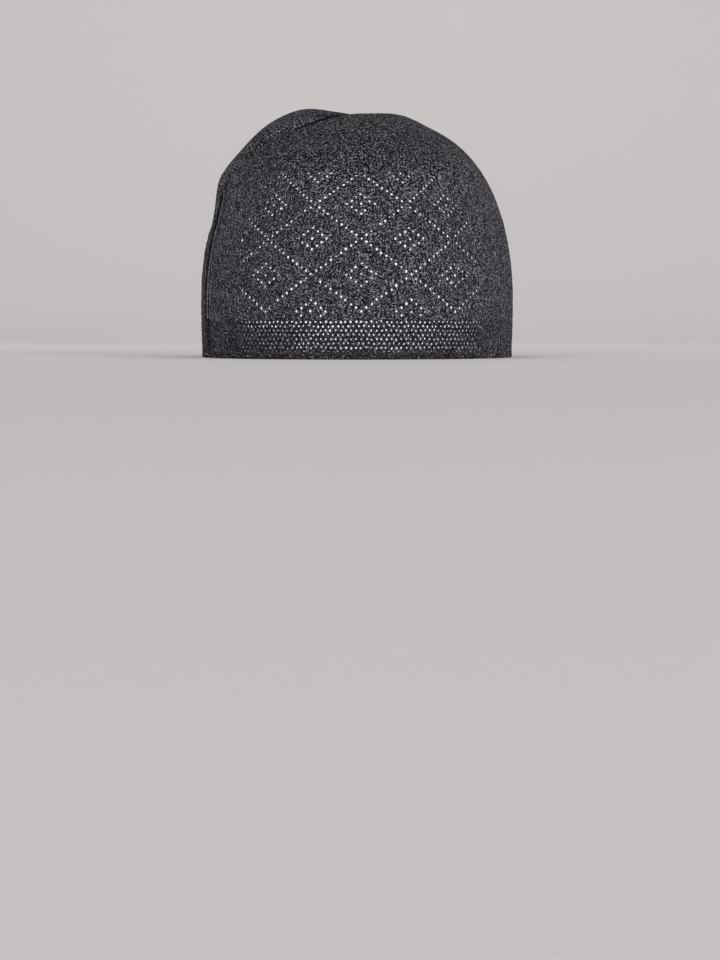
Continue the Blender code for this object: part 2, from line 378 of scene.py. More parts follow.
def lay_crown():
    """Chart of the crown: pierced and plain cells below, plain rows closing to the pole above."""
    chart = ClothChart()
    crossing_share = float(share_at(LOWEST_CROSSING_HEIGHT))
    row_share = ROW_PITCH / line_length
    shares = {2 * LOWEST_ROW: float(share_at(BAND_TOP_HEIGHT))}
    for level in range(2 * LOWEST_ROW + 1, 2 * LATTICE_ROWS + 3):
        shares[level] = crossing_share - (level - 1) / 2 * row_share
    for row in range(LOWEST_ROW, LATTICE_ROWS + 1):
        for column in range(COLUMNS):
            heart = (2 * column, 2 * row + 1)
            outline = cell_outline(2 * column, row)
            if is_lattice_eyelet(column, row):
                points = [chart.point(half, level, shares[level]) for half, level in outline]
                chart.pierced_cell(points, column, shares[2 * row + 1], LATTICE_HOLE_RADIUS)
                continue
            if is_near_seam(column):
                for corner in range(0, 8, 2):
                    quarter = [outline[corner], outline[corner + 1], heart, outline[corner - 1]]
                    chart.face([chart.point(half, level, shares[level]) for half, level in quarter])
                continue
            wanted = [True, row == LOWEST_ROW or is_split(column, row - 1),
                      True, is_split(column + 1, row),
                      True, row == LATTICE_ROWS or is_split(column, row + 1),
                      True, is_split(column - 1, row)]
            chart.face([chart.point(half, level, shares[level])
                        for (half, level), keep in zip(outline, wanted) if keep])
    level, share = 2 * LATTICE_ROWS + 2, shares[2 * LATTICE_ROWS + 2]
    while share - row_share > POLE_SHARE:
        above = share - row_share
        for left in range(2 * COLUMNS):
            chart.face([chart.point(left, level, share), chart.point(left + 1, level, share),
                        chart.point(left + 1, level + 2, above), chart.point(left, level + 2, above)])
        level, share = level + 2, above
    pole = chart.loose_point(0.0, 0.0)
    for left in range(2 * COLUMNS):
        chart.face([chart.point(left, level, share), chart.point(left + 1, level, share),
                    (pole, (left / 2, 0.0))])
    return chart


HOLE_EDGE_ANGLE = radians(40)


def cloth_piece(name, chart, material, replaced):
    """Give a charted sheet its wall, shade it and hand it over as the finished piece."""
    mesh = chart.lay(name)
    piece = bpy.data.objects.new(name, mesh)
    bpy.context.scene.collection.objects.link(piece)
    full_wall = piece.vertex_groups.new(name="full wall")
    full_wall.add(sorted(set(range(len(mesh.vertices))) - set(chart.edge_points)), 1.0, "REPLACE")
    wall = piece.modifiers.new("cloth wall", "SOLIDIFY")
    wall.thickness = CLOTH_WALL
    wall.offset = -1.0
    wall.vertex_group = full_wall.name
    wall.thickness_vertex_group = HOLE_EDGE_SHARE
    depsgraph = bpy.context.evaluated_depsgraph_get()
    walled = bpy.data.meshes.new_from_object(piece.evaluated_get(depsgraph))
    piece.modifiers.clear()
    piece.vertex_groups.clear()
    walled.name = name
    piece.data = walled
    bpy.data.meshes.remove(mesh)
    walled.materials.clear()
    walled.materials.append(material)
    walled.shade_smooth()
    walled.set_sharp_from_angle(angle=HOLE_EDGE_ANGLE)
    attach(piece, "root")
    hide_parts(replaced)


def add_node(tree, kind, **settings):
    """A new node with its settings."""
    node = tree.nodes.new(kind)
    for key, value in settings.items():
        setattr(node, key, value)
    return node


def calc(tree, operation, *values):
    """A math node on values or sockets, giving its result socket."""
    node = add_node(tree, "ShaderNodeMath", operation=operation)
    for socket, value in zip(node.inputs, values):
        if isinstance(value, (int, float)):
            socket.default_value = value
        else:
            tree.links.new(value, socket)
    return node.outputs[0]


def blend_between(tree, value, low, high):
    """A smooth rise from 0 to 1 between two values."""
    rise = add_node(tree, "ShaderNodeMapRange", interpolation_type="SMOOTHSTEP")
    rise.inputs["From Min"].default_value = low
    rise.inputs["From Max"].default_value = high
    tree.links.new(value, rise.inputs["Value"])
    return rise.outputs["Result"]


def noise_at(tree, place, scale, detail=0.0, seed=0.0):
    """Noise in three dimensions, its seed an offset of the place."""
    shifted = add_node(tree, "ShaderNodeVectorMath", operation="ADD")
    shifted.inputs[1].default_value = (seed, seed * 1.7, -seed)
    tree.links.new(place, shifted.inputs[0])
    noise = add_node(tree, "ShaderNodeTexNoise")
    noise.inputs["Scale"].default_value = scale
    noise.inputs["Detail"].default_value = detail
    tree.links.new(shifted.outputs[0], noise.inputs["Vector"])
    return noise.outputs["Fac"]


# Squiggles of lighter fibre in two families: their seed, their scale and width as noise has them
Squiggle = namedtuple("Squiggle", "seed per_millimetre width")
SQUIGGLES = (Squiggle(3.0, 0.72, 0.060), Squiggle(41.0, 0.90, 0.066))
SQUIGGLE_DETAIL = 0.4
BREAK_SEED = 11.0
BREAKS_PER_MILLIMETRE = 1.20
BROKEN_BELOW, WHOLE_ABOVE = 0.41, 0.54
DARK_EDGE_WIDTH = 2.6  # of the squiggle's own
MILLIMETRES_PER_METRE = 1000.0


def make_marl_group():
    """Marled yarn: short pale squiggles of lighter fibre, and the dark edges along them."""
    group = bpy.data.node_groups.new("marled yarn", "ShaderNodeTree")
    face = group.interface
    face.new_socket("Place", in_out="INPUT", socket_type="NodeSocketVector")
    face.new_socket("Pale", in_out="OUTPUT", socket_type="NodeSocketFloat")
    face.new_socket("Dark", in_out="OUTPUT", socket_type="NodeSocketFloat")
    source = add_node(group, "NodeGroupInput")
    result = add_node(group, "NodeGroupOutput")
    millimetres = add_node(group, "ShaderNodeVectorMath", operation="SCALE")
    millimetres.inputs["Scale"].default_value = MILLIMETRES_PER_METRE
    group.links.new(source.outputs["Place"], millimetres.inputs[0])
    place = millimetres.outputs[0]
    pale = dark = None
    for seed, scale, width in SQUIGGLES:
        line_noise = noise_at(group, place, scale, SQUIGGLE_DETAIL, seed)
        off_line = calc(group, "ABSOLUTE", calc(group, "SUBTRACT", line_noise, 0.5))
        line = calc(group, "SUBTRACT", 1.0, blend_between(group, off_line, 0.0, width))
        breaks = noise_at(group, place, BREAKS_PER_MILLIMETRE, 0.0, seed + BREAK_SEED)
        whole = blend_between(group, breaks, BROKEN_BELOW, WHOLE_ABOVE)
        squiggle = calc(group, "MULTIPLY", line, whole)
        beyond = blend_between(group, off_line, width, DARK_EDGE_WIDTH * width)
        leaving = blend_between(group, off_line, 0.5 * width, width)
        edge = calc(group, "MULTIPLY", calc(group, "SUBTRACT", 1.0, beyond), leaving)
        pale = squiggle if pale is None else calc(group, "MAXIMUM", pale, squiggle)
        dark = edge if dark is None else calc(group, "MAXIMUM", dark, edge)
    group.links.new(pale, result.inputs["Pale"])
    group.links.new(dark, result.inputs["Dark"])
    return group


LEG_BOW = 4.0  # how steeply a yarn leg falls off at its sides
STITCH_BOW = 2.6  # and at its ends
WANDER_SCALE = 0.35


def make_knit_group():
    """Stocking stitch: slanted yarn legs in courses, each leg a shade of its own."""
    group = bpy.data.node_groups.new("stocking stitch", "ShaderNodeTree")
    face = group.interface
    face.new_socket("Stitches", in_out="INPUT", socket_type="NodeSocketVector")
    face.new_socket("Slant", in_out="INPUT", socket_type="NodeSocketFloat").default_value = 0.9
    face.new_socket("Wander", in_out="INPUT", socket_type="NodeSocketFloat").default_value = 0.5
    face.new_socket("Shade", in_out="OUTPUT", socket_type="NodeSocketFloat")
    face.new_socket("Height", in_out="OUTPUT", socket_type="NodeSocketFloat")
    source = add_node(group, "NodeGroupInput")
    result = add_node(group, "NodeGroupOutput")
    wander = add_node(group, "ShaderNodeTexNoise", noise_dimensions="2D")
    wander.inputs["Scale"].default_value = WANDER_SCALE
    wander.inputs["Detail"].default_value = 1.0
    group.links.new(source.outputs["Stitches"], wander.inputs["Vector"])
    split = add_node(group, "ShaderNodeSeparateXYZ")
    group.links.new(source.outputs["Stitches"], split.inputs[0])
    drift = add_node(group, "ShaderNodeSeparateColor")
    group.links.new(wander.outputs["Color"], drift.inputs[0])
    places = []
    for axis in range(2):
        off = calc(group, "SUBTRACT", drift.outputs[axis], 0.5)
        off = calc(group, "MULTIPLY", off, source.outputs["Wander"])
        places.append(calc(group, "ADD", split.outputs[axis], off))
    legs = calc(group, "MULTIPLY", places[0], 2.0)
    leg = calc(group, "FLOOR", legs)
    across = calc(group, "SUBTRACT", calc(group, "FRACT", legs), 0.5)
    other_leg = calc(group, "FLOORED_MODULO", leg, 2.0)
    side = calc(group, "SUBTRACT", calc(group, "MULTIPLY", other_leg, 2.0), 1.0)
    lean = calc(group, "MULTIPLY", calc(group, "MULTIPLY", side, across), source.outputs["Slant"])
    leaned = calc(group, "ADD", places[1], lean)
    row = calc(group, "FLOOR", leaned)
    along = calc(group, "SUBTRACT", calc(group, "FRACT", leaned), 0.5)
    height = None
    for offset, steepness in ((across, LEG_BOW), (along, STITCH_BOW)):
        bow = calc(group, "MULTIPLY", calc(group, "MULTIPLY", offset, offset), steepness)
        bow = calc(group, "SUBTRACT", 1.0, bow)
        height = bow if height is None else calc(group, "MULTIPLY", height, bow)
    cell = add_node(group, "ShaderNodeCombineXYZ")
    group.links.new(leg, cell.inputs["X"])
    group.links.new(row, cell.inputs["Y"])
    shade = add_node(group, "ShaderNodeTexWhiteNoise", noise_dimensions="2D")
    group.links.new(cell.outputs[0], shade.inputs["Vector"])
    group.links.new(shade.outputs["Value"], result.inputs["Shade"])
    group.links.new(height, result.inputs["Height"])
    return group


DEEP_YARN = (0.0070, 0.0060, 0.0090, 1.0)
DARK_YARN = (0.0235, 0.0208, 0.0280, 1.0)
MID_YARN = (0.070, 0.063, 0.081, 1.0)
PALE_YARN = (0.50, 0.47, 0.53, 1.0)
DEEP_TONE, DARK_TONE, MID_TONE, PALE_TONE = 0.05, 0.32, 0.60, 1.0


def make_colour_group():
    """Colours of the marled yarn by its tone, from the painted shade between stitches to the pale fibres.
    """
    group = bpy.data.node_groups.new("yarn colours", "ShaderNodeTree")
    face = group.interface
    face.new_socket("Tone", in_out="INPUT", socket_type="NodeSocketFloat")
    face.new_socket("Colour", in_out="OUTPUT", socket_type="NodeSocketColor")
    source = add_node(group, "NodeGroupInput")
    result = add_node(group, "NodeGroupOutput")
    ramp = add_node(group, "ShaderNodeValToRGB")
    stops = ramp.color_ramp.elements
    stops[0].position, stops[0].color = DEEP_TONE, DEEP_YARN
    stops[1].position, stops[1].color = PALE_TONE, PALE_YARN
    stops.new(DARK_TONE).color = DARK_YARN
    stops.new(MID_TONE).color = MID_YARN
    group.links.new(source.outputs["Tone"], ramp.inputs[0])
    group.links.new(ramp.outputs["Color"], result.inputs["Colour"])
    return group


def colour_of(tree, tone):
    """The yarn's colour at a tone."""
    colours = add_node(tree, "ShaderNodeGroup", node_tree=colour_group)
    tree.links.new(tone, colours.inputs["Tone"])
    return colours.outputs["Colour"]


def lessened(tree, value, loss, mask):
    """A value with a share of it taken away where a mask is 1."""
    return calc(tree, "MULTIPLY", value, calc(tree, "SUBTRACT", 1.0, calc(tree, "MULTIPLY", mask, loss)))


knit_group = make_knit_group()
marl_group = make_marl_group()
colour_group = make_colour_group()

# The cloth is stretched low down, and slack towards the top and a little at the sides, where it has fewer
# and brighter flecks; it is darker there too, partly as slack knit is and partly as painted shade. Light is
# painted on the puffs, and shade is painted into the seam's fold
STRETCHED_BELOW, SLACK_AND_SHADE_ABOVE = 0.070, 0.105
STRETCHED_WITHIN, SLACK_AND_SHADE_BEYOND = 0.050, 0.076
SIDE_SLACK_AND_SHADE = 0.5
# How much darker the slack top and sides are, partly slack knit and partly painted shade
SLACK_AND_SHADE_DARKENING = 0.39
SLACK_FLECK_GAIN = 1.9
FLECK_POWER, SLACK_FLECK_POWER = 1.1, 2.2
# Painted light on the puffs
PUFF_PAINTED_LIGHT = 0.42
# Painted shade in the seam's fold: where it begins and is darkest, and how much it takes from the tone and
# the flecks
FOLD_SHADE_BEGINS, FOLD_SHADE_DARKEST = 0.05, 0.72
FOLD_PAINTED_SHADE, FOLD_SHADE_FLECK_LOSS = 0.84, 0.90

YARN_TONE = 0.365
# Painted light and shade on the knit's relief: yarn legs lighter above their crest, the gaps between them
# darker
LEG_CREST, GAP_SHADE = 0.75, 0.45
LEG_SPREAD = 0.42  # how much single yarn legs differ in tone
DARK_EDGE_SHADE = 0.22
DULL_ROUGHNESS, FLECK_SMOOTHNESS = 0.95, 0.15
BUMP_STRENGTH = 0.8
YARN_SPECULAR = 0.06
YARN_SHEEN, YARN_SHEEN_ROUGHNESS = 0.01, 0.6


def knit_material(name, lift, fleck_gain, bump_depth, slant):
    """Marled charcoal knit: yarn legs, pale fibres, soft roughness, and light and shade painted into its
    colour.
    """
    material = bpy.data.materials.new(name)
    material.use_nodes = True
    tree = material.node_tree
    shader = tree.nodes["Principled BSDF"]
    places = add_node(tree, "ShaderNodeUVMap", uv_map="stitches")
    knit = add_node(tree, "ShaderNodeGroup", node_tree=knit_group)
    knit.inputs["Slant"].default_value = slant
    tree.links.new(places.outputs[0], knit.inputs["Stitches"])
    coordinates = add_node(tree, "ShaderNodeTexCoord")
    marl = add_node(tree, "ShaderNodeGroup", node_tree=marl_group)
    tree.links.new(coordinates.outputs["Object"], marl.inputs["Place"])
    place = add_node(tree, "ShaderNodeSeparateXYZ")
    tree.links.new(coordinates.outputs["Object"], place.inputs[0])
    slack_and_shaded = blend_between(tree, place.outputs["Z"], STRETCHED_BELOW, SLACK_AND_SHADE_ABOVE)
    aside = calc(tree, "ABSOLUTE", place.outputs["X"])
    at_sides = blend_between(tree, aside, STRETCHED_WITHIN, SLACK_AND_SHADE_BEYOND)
    slack_and_shaded = calc(tree, "MAXIMUM", slack_and_shaded, calc(tree, "MULTIPLY", at_sides, SIDE_SLACK_AND_SHADE))
    # Shade painted into the seam's fold
    fold_painted_shade = add_node(tree, "ShaderNodeAttribute", attribute_name="fold_painted_shade")
    in_painted_fold_shade = blend_between(tree, fold_painted_shade.outputs["Fac"], FOLD_SHADE_BEGINS, FOLD_SHADE_DARKEST)
    # Light painted on the puffs, by how far they lift the cloth
    puffed = add_node(tree, "ShaderNodeAttribute", attribute_name="puffed")

    # Painted light and shade on the knit's relief: lighter on the crests of the yarn legs, darker in the
    # gaps
    painted_relief_light_and_shade = calc(tree, "MULTIPLY", calc(tree, "SUBTRACT", knit.outputs["Height"], LEG_CREST), GAP_SHADE)
    leg = calc(tree, "MULTIPLY", calc(tree, "SUBTRACT", knit.outputs["Shade"], 0.5), LEG_SPREAD)
    tone = calc(tree, "ADD", calc(tree, "ADD", painted_relief_light_and_shade, leg), YARN_TONE + lift)
    sparse = calc(tree, "ADD", calc(tree, "MULTIPLY", slack_and_shaded, SLACK_FLECK_POWER), FLECK_POWER)
    # The painted shade in the fold dims the pale flecks too
    flecks = lessened(tree, calc(tree, "POWER", marl.outputs["Pale"], sparse), FOLD_SHADE_FLECK_LOSS, in_painted_fold_shade)
    gain = calc(tree, "ADD", calc(tree, "MULTIPLY", slack_and_shaded, SLACK_FLECK_GAIN), fleck_gain)
    tone = calc(tree, "ADD", tone, calc(tree, "MULTIPLY", flecks, gain))
    tone = calc(tree, "SUBTRACT", tone, calc(tree, "MULTIPLY", marl.outputs["Dark"], DARK_EDGE_SHADE))
    # Darker where the cloth is slack, partly as slack knit is and partly as painted shade on the top and
    # sides
    tone = calc(tree, "SUBTRACT", tone, calc(tree, "MULTIPLY", slack_and_shaded, SLACK_AND_SHADE_DARKENING))
    # Painted light on the puffs
    tone = calc(tree, "ADD", tone, calc(tree, "MULTIPLY", puffed.outputs["Fac"], PUFF_PAINTED_LIGHT))
    # Painted shade in the seam's fold
    tree.links.new(colour_of(tree, lessened(tree, tone, FOLD_PAINTED_SHADE, in_painted_fold_shade)), shader.inputs["Base Color"])

    smoother = calc(tree, "MULTIPLY", marl.outputs["Pale"], FLECK_SMOOTHNESS)
    tree.links.new(calc(tree, "SUBTRACT", DULL_ROUGHNESS, smoother), shader.inputs["Roughness"])
    bump = add_node(tree, "ShaderNodeBump")
    bump.inputs["Strength"].default_value = BUMP_STRENGTH
    bump.inputs["Distance"].default_value = bump_depth
    tree.links.new(knit.outputs["Height"], bump.inputs["Height"])
    tree.links.new(bump.outputs[0], shader.inputs["Normal"])
    shader.inputs["Specular IOR Level"].default_value = YARN_SPECULAR
    shader.inputs["Sheen Weight"].default_value = YARN_SHEEN
    shader.inputs["Sheen Roughness"].default_value = YARN_SHEEN_ROUGHNESS
    return material


CROWN_FLECK_GAIN = 0.80
CROWN_BUMP = 0.0004
CROWN_SLANT = 0.9

crown_knit = knit_material("crown knit", 0.0, CROWN_FLECK_GAIN, CROWN_BUMP, CROWN_SLANT)
crown_chart = lay_crown()
cloth_piece("knit_crown", crown_chart, crown_knit, "crown")


# The netted band
# Below the lattice the knit opens into a net: eight rows of small eyelets set like bricks, close
# enough that only the yarn round each of them is left. It grips the brow.

BAND_ROWS = 8
BAND_ROW_PITCH = 0.0020
BAND_LOW_HEIGHT = BAND_TOP_HEIGHT - BAND_ROWS * BAND_ROW_PITCH
BAND_HOLE_RADIUS = 0.00047
TOP_HOLE_RADIUS = 0.00056
BAND_LIFT, BAND_FLECK_GAIN = 0.03, 0.42
BAND_BUMP = 0.0004
BAND_SLANT = 0.6


def lay_band():
    """Chart of the band: pierced cells in every place, shifted half a column in every other row."""
    chart = ClothChart()
    shares = [float(share_at(BAND_LOW_HEIGHT + BAND_ROW_PITCH * level / 2))
              for level in range(2 * BAND_ROWS + 1)]
    for row in range(BAND_ROWS):
        shift = (BAND_ROWS - 1 - row) % 2
        hole_radius = TOP_HOLE_RADIUS if row == BAND_ROWS - 1 else BAND_HOLE_RADIUS
        for column in range(COLUMNS):
            centre = 2 * column + shift
            points = [chart.point(half, level, shares[level]) for half, level in cell_outline(centre, row)]
            chart.pierced_cell(points, centre / 2, shares[2 * row + 1], hole_radius)
    return chart


band_knit = knit_material("band knit", BAND_LIFT, BAND_FLECK_GAIN, BAND_BUMP, BAND_SLANT)
band_chart = lay_band()
cloth_piece("netted_band", band_chart, band_knit, "eyelet_band")


# Yarn round the eyelets
# Each eyelet is held open by the stitch drawn round it, a loop of yarn that stands a little proud
# of the cloth. The loops are set by the same charts as the holes.

YARN_RADIUS = 0.00015
LOOP_SIDES = 10
YARN_SIDES = 4
LOOP_CLEARANCE = 0.00012
COLUMN_FEELER = 0.2  # how far to each side of an eyelet the cloth's lie is taken
SHARE_FEELER = 0.002


def outward_of(aside, up):
    """Outward directions from the ways aside and up along the cloth."""
    outward = np.cross(aside, up)
    return outward / np.linalg.norm(outward, axis=1, keepdims=True)


def bare_points(name, places, outward, across, sizes):
    """Points that each know their outward direction, the way their yarn lies and their size."""
    mesh = bpy.data.meshes.new(name)
    mesh.from_pydata(places.tolist(), [], [])
    for label, values in (("outward", outward), ("across", across)):
        layer = mesh.attributes.new(label, "FLOAT_VECTOR", "POINT")
        layer.data.foreach_set("vector", values.astype(np.float32).ravel())
    mesh.attributes.new("size", "FLOAT", "POINT").data.foreach_set("value", sizes.astype(np.float32))
    return mesh


def eyelet_points(name, eyelets):
    """Bare points at the eyelets, their yarn laid round the cap."""
    columns, shares, sizes = (np.array(values) for values in zip(*eyelets))
    place = cap_point(turn_of(columns, shares), shares)
    across = (cap_point(turn_of(columns + COLUMN_FEELER, shares), shares)
              - cap_point(turn_of(columns - COLUMN_FEELER, shares), shares))
    higher, lower = shares - SHARE_FEELER, shares + SHARE_FEELER
    up = cap_point(turn_of(columns, higher), higher) - cap_point(turn_of(columns, lower), lower)
    return bare_points(name, place, outward_of(across, up), across, sizes)


def make_loop_tree():
    """Loops of yarn on points, each turned to face outwards and sized by its point, made real."""
    tree = bpy.data.node_groups.new("loops of yarn", "GeometryNodeTree")
    face = tree.interface
    face.new_socket("Points", in_out="INPUT", socket_type="NodeSocketGeometry")
    for label in ("Loop Radius", "Yarn Radius", "Length", "Width"):
        face.new_socket(label, in_out="INPUT", socket_type="NodeSocketFloat")
    face.new_socket("Yarn", in_out="INPUT", socket_type="NodeSocketMaterial")
    face.new_socket("Loops", in_out="OUTPUT", socket_type="NodeSocketGeometry")
    link = tree.links.new
    source = add_node(tree, "NodeGroupInput")
    result = add_node(tree, "NodeGroupOutput")
    path = add_node(tree, "GeometryNodeCurvePrimitiveCircle", mode="RADIUS")
    path.inputs["Resolution"].default_value = LOOP_SIDES
    link(source.outputs["Loop Radius"], path.inputs["Radius"])
    section = add_node(tree, "GeometryNodeCurvePrimitiveCircle", mode="RADIUS")
    section.inputs["Resolution"].default_value = YARN_SIDES
    link(source.outputs["Yarn Radius"], section.inputs["Radius"])
    tube = add_node(tree, "GeometryNodeCurveToMesh")
    link(path.outputs["Curve"], tube.inputs["Curve"])
    link(section.outputs["Curve"], tube.inputs["Profile Curve"])
    outward = add_node(tree, "GeometryNodeInputNamedAttribute", data_type="FLOAT_VECTOR")
    outward.inputs["Name"].default_value = "outward"
    across = add_node(tree, "GeometryNodeInputNamedAttribute", data_type="FLOAT_VECTOR")
    across.inputs["Name"].default_value = "across"
    turn = add_node(tree, "FunctionNodeAxesToRotation", primary_axis="Z", secondary_axis="X")
    link(outward.outputs["Attribute"], turn.inputs["Primary Axis"])
    link(across.outputs["Attribute"], turn.inputs["Secondary Axis"])
    dots = add_node(tree, "GeometryNodeMeshToPoints")
    link(source.outputs["Points"], dots.inputs["Mesh"])
    size = add_node(tree, "GeometryNodeInputNamedAttribute", data_type="FLOAT")
    size.inputs["Name"].default_value = "size"
    shape = add_node(tree, "ShaderNodeCombineXYZ")
    link(source.outputs["Length"], shape.inputs["X"])
    link(source.outputs["Width"], shape.inputs["Y"])
    shape.inputs["Z"].default_value = 1.0
    scale = add_node(tree, "ShaderNodeVectorMath", operation="SCALE")
    link(shape.outputs[0], scale.inputs[0])
    link(size.outputs["Attribute"], scale.inputs["Scale"])
    copies = add_node(tree, "GeometryNodeInstanceOnPoints")
    link(dots.outputs["Points"], copies.inputs["Points"])
    link(tube.outputs["Mesh"], copies.inputs["Instance"])
    link(turn.outputs["Rotation"], copies.inputs["Rotation"])
    link(scale.outputs[0], copies.inputs["Scale"])
    real = add_node(tree, "GeometryNodeRealizeInstances")
    link(copies.outputs["Instances"], real.inputs["Geometry"])
    paint = add_node(tree, "GeometryNodeSetMaterial")
    link(real.outputs["Geometry"], paint.inputs["Geometry"])
    link(source.outputs["Yarn"], paint.inputs["Material"])
    link(paint.outputs["Geometry"], result.inputs["Loops"])
    return tree


def grown_piece(name, points, tree, values):
    """Run a tree on bare points and keep what it grows as a plain piece of its own."""
    grower = bpy.data.objects.new(name + "_points", points)
    bpy.context.scene.collection.objects.link(grower)
    modifier = grower.modifiers.new("grow", "NODES")
    modifier.node_group = tree
    for item in tree.interface.items_tree:
        if item.in_out == "INPUT" and item.name in values:
            modifier[item.identifier] = values[item.name]
    depsgraph = bpy.context.evaluated_depsgraph_get()
    mesh = bpy.data.meshes.new_from_object(grower.evaluated_get(depsgraph), depsgraph=depsgraph)
    bpy.data.objects.remove(grower, do_unlink=True)
    bpy.data.meshes.remove(points)
    mesh.name = name
    mesh.shade_smooth()
    piece = bpy.data.objects.new(name, mesh)
    bpy.context.scene.collection.objects.link(piece)
    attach(piece, "root")


FIBRES_PER_METRE = 4200.0
FIBRE_SPREAD = 0.6
BARE_YARN_TONE = 0.36
BARE_YARN_FLECK_GAIN = 0.45
BARE_YARN_ROUGHNESS = 0.9
FIBRE_BUMP_STRENGTH, FIBRE_BUMP = 0.5, 0.0001


def yarn_material(name, lift):
    """Bare yarn of loops and stitches: the cloth's marl with fine fibres."""
    material = bpy.data.materials.new(name)
    material.use_nodes = True
    tree = material.node_tree
    shader = tree.nodes["Principled BSDF"]
    coordinates = add_node(tree, "ShaderNodeTexCoord")
    marl = add_node(tree, "ShaderNodeGroup", node_tree=marl_group)
    tree.links.new(coordinates.outputs["Object"], marl.inputs["Place"])
    fibres = noise_at(tree, coordinates.outputs["Object"], FIBRES_PER_METRE, 1.0)
    tone = calc(tree, "MULTIPLY", calc(tree, "SUBTRACT", fibres, 0.5), FIBRE_SPREAD)
    tone = calc(tree, "ADD", tone, BARE_YARN_TONE + lift)
    tone = calc(tree, "ADD", tone, calc(tree, "MULTIPLY", marl.outputs["Pale"], BARE_YARN_FLECK_GAIN))
    tree.links.new(colour_of(tree, tone), shader.inputs["Base Color"])
    bump = add_node(tree, "ShaderNodeBump")
    bump.inputs["Strength"].default_value = FIBRE_BUMP_STRENGTH
    bump.inputs["Distance"].default_value = FIBRE_BUMP
    tree.links.new(fibres, bump.inputs["Height"])
    tree.links.new(bump.outputs[0], shader.inputs["Normal"])
    shader.inputs["Roughness"].default_value = BARE_YARN_ROUGHNESS
    shader.inputs["Specular IOR Level"].default_value = YARN_SPECULAR
    shader.inputs["Sheen Weight"].default_value = YARN_SHEEN
    return material


loop_yarn = yarn_material("loop yarn", 0.0)
loop_tree = make_loop_tree()
for loop_name, chart, hole_radius, loop_slot in (
        ("lattice_loops", crown_chart, LATTICE_HOLE_RADIUS, "crown_knit"),
        ("band_loops", band_chart, BAND_HOLE_RADIUS, "band_knit")):
    grown_piece(loop_name, eyelet_points(loop_name, chart.eyelets), loop_tree, {
        "Loop Radius": hole_radius + LOOP_CLEARANCE,
        "Yarn Radius": YARN_RADIUS,
        "Length": 1.0,
        "Width": 1.0,
        "Yarn": loop_yarn,
    })


# The closing seam
# One seam closes the knit from left to right. It is sewn in chain stitch with a lighter strand of the
# yarn. Over the top one fine line follows the fold, and down the left side a line of larger stitches
# lies on each side of it.

SEAM_STITCH_LENGTH = 0.0030
SEAM_STITCH_AHEAD = 0.0006  # how far ahead a stitch looks for the way that it runs
SEAM_LOOP_RADIUS = 0.00075
SEAM_LOOP_LENGTH, SEAM_LOOP_WIDTH = 1.7, 0.55
SEAM_YARN_RADIUS = 0.00022
SEAM_YARN_LIFT = 0.34
SEAM_SIZE_SPREAD = 0.06
TURN_FEELER, SEAM_SHARE_FEELER = 0.01, 0.004
SEAM_SAMPLES = 1200
NARROWEST_RADIUS = 0.004

# A row for each line of stitches: its seam, where it begins and ends, how far beside the seam it
# lies, towards greater turns, and the size of its stitches
StitchLine = namedtuple("StitchLine", "rows first_share last_share aside size")
STITCH_LINES = (
    StitchLine(LEFT_SEAM, 0.06, 0.50, 0.0008, 0.55),
    StitchLine(LEFT_SEAM, 0.52, 0.895, 0.0024, 1.0),
    StitchLine(LEFT_SEAM, 0.52, 0.895, -0.0024, 1.0),
    StitchLine(RIGHT_SEAM, 0.06, 0.50, 0.0008, 0.55),
)


def stitch_points(name, turns, shares, ahead_turns, ahead_shares, sizes):
    """Bare points for stitches, their yarn laid the way that each stitch runs."""
    place = cap_point(turns, shares)
    ahead = cap_point(ahead_turns, ahead_shares) - place
    aside = cap_point(turns + TURN_FEELER, shares) - cap_point(turns - TURN_FEELER, shares)
    up = cap_point(turns, shares - SEAM_SHARE_FEELER) - cap_point(turns, shares + SEAM_SHARE_FEELER)
    outward = outward_of(aside, up)
    return bare_points(name, place + outward * SEAM_YARN_RADIUS / 2, outward, ahead, sizes)


def set_stitches(line):
    """Turns and shares of a line's stitches, the same a little ahead, and their sizes."""
    shares = np.linspace(line.first_share, line.last_share, SEAM_SAMPLES)
    radius = np.interp(shares, line_share, line_reach) * mean_radius
    turns = np.radians(along_seam(line.rows, shares)[1]) + line.aside / np.maximum(radius, NARROWEST_RADIUS)
    points = cap_point(turns, shares)
    run = np.concatenate([[0.0], np.cumsum(np.linalg.norm(np.diff(points, axis=0), axis=1))])
    steps = np.arange(0.0, run[-1], SEAM_STITCH_LENGTH * line.size)
    ahead = steps + SEAM_STITCH_AHEAD
    return (np.interp(steps, run, turns), np.interp(steps, run, shares),
            np.interp(ahead, run, turns), np.interp(ahead, run, shares), np.full(len(steps), line.size))


set_lines = [set_stitches(line) for line in STITCH_LINES]
turns, shares, ahead_turns, ahead_shares, seam_sizes = (np.concatenate(parts) for parts in zip(*set_lines))
seam_chance = np.random.default_rng(RANDOM_SEED)
seam_sizes *= seam_chance.normal(1.0, SEAM_SIZE_SPREAD, len(turns))
seam_yarn = yarn_material("seam yarn", SEAM_YARN_LIFT)
grown_piece("closing_seam_stitches", stitch_points(
    "closing_seam_stitches", turns, shares, ahead_turns, ahead_shares, seam_sizes), loop_tree, {
        "Loop Radius": SEAM_LOOP_RADIUS,
        "Yarn Radius": SEAM_YARN_RADIUS,
        "Length": SEAM_LOOP_LENGTH,
        "Width": SEAM_LOOP_WIDTH,
        "Yarn": seam_yarn,
    })


# The turned hem
# The lower edge is turned under and stitched to itself, which leaves a firm narrow roll of double
# cloth. Its underside is flat, because the cap rests on it.

HEM_HEIGHT = 0.0024
HEM_WALL = 0.0026
HEM_PROUD = 0.0004
HEM_SIDES = 12
HEM_STEPS_PER_STITCH = 4
HEM_STITCHES = 2 * COLUMNS
HEM_PUCKER = 0.00016
HEM_SQUARENESS = 3.2
HEM_COURSES_PER_SIDE = 0.8
HEM_LIFT, HEM_FLECK_GAIN = -0.03, 0.50
HEM_BUMP = 0.0003
HEM_SLANT = 0.9


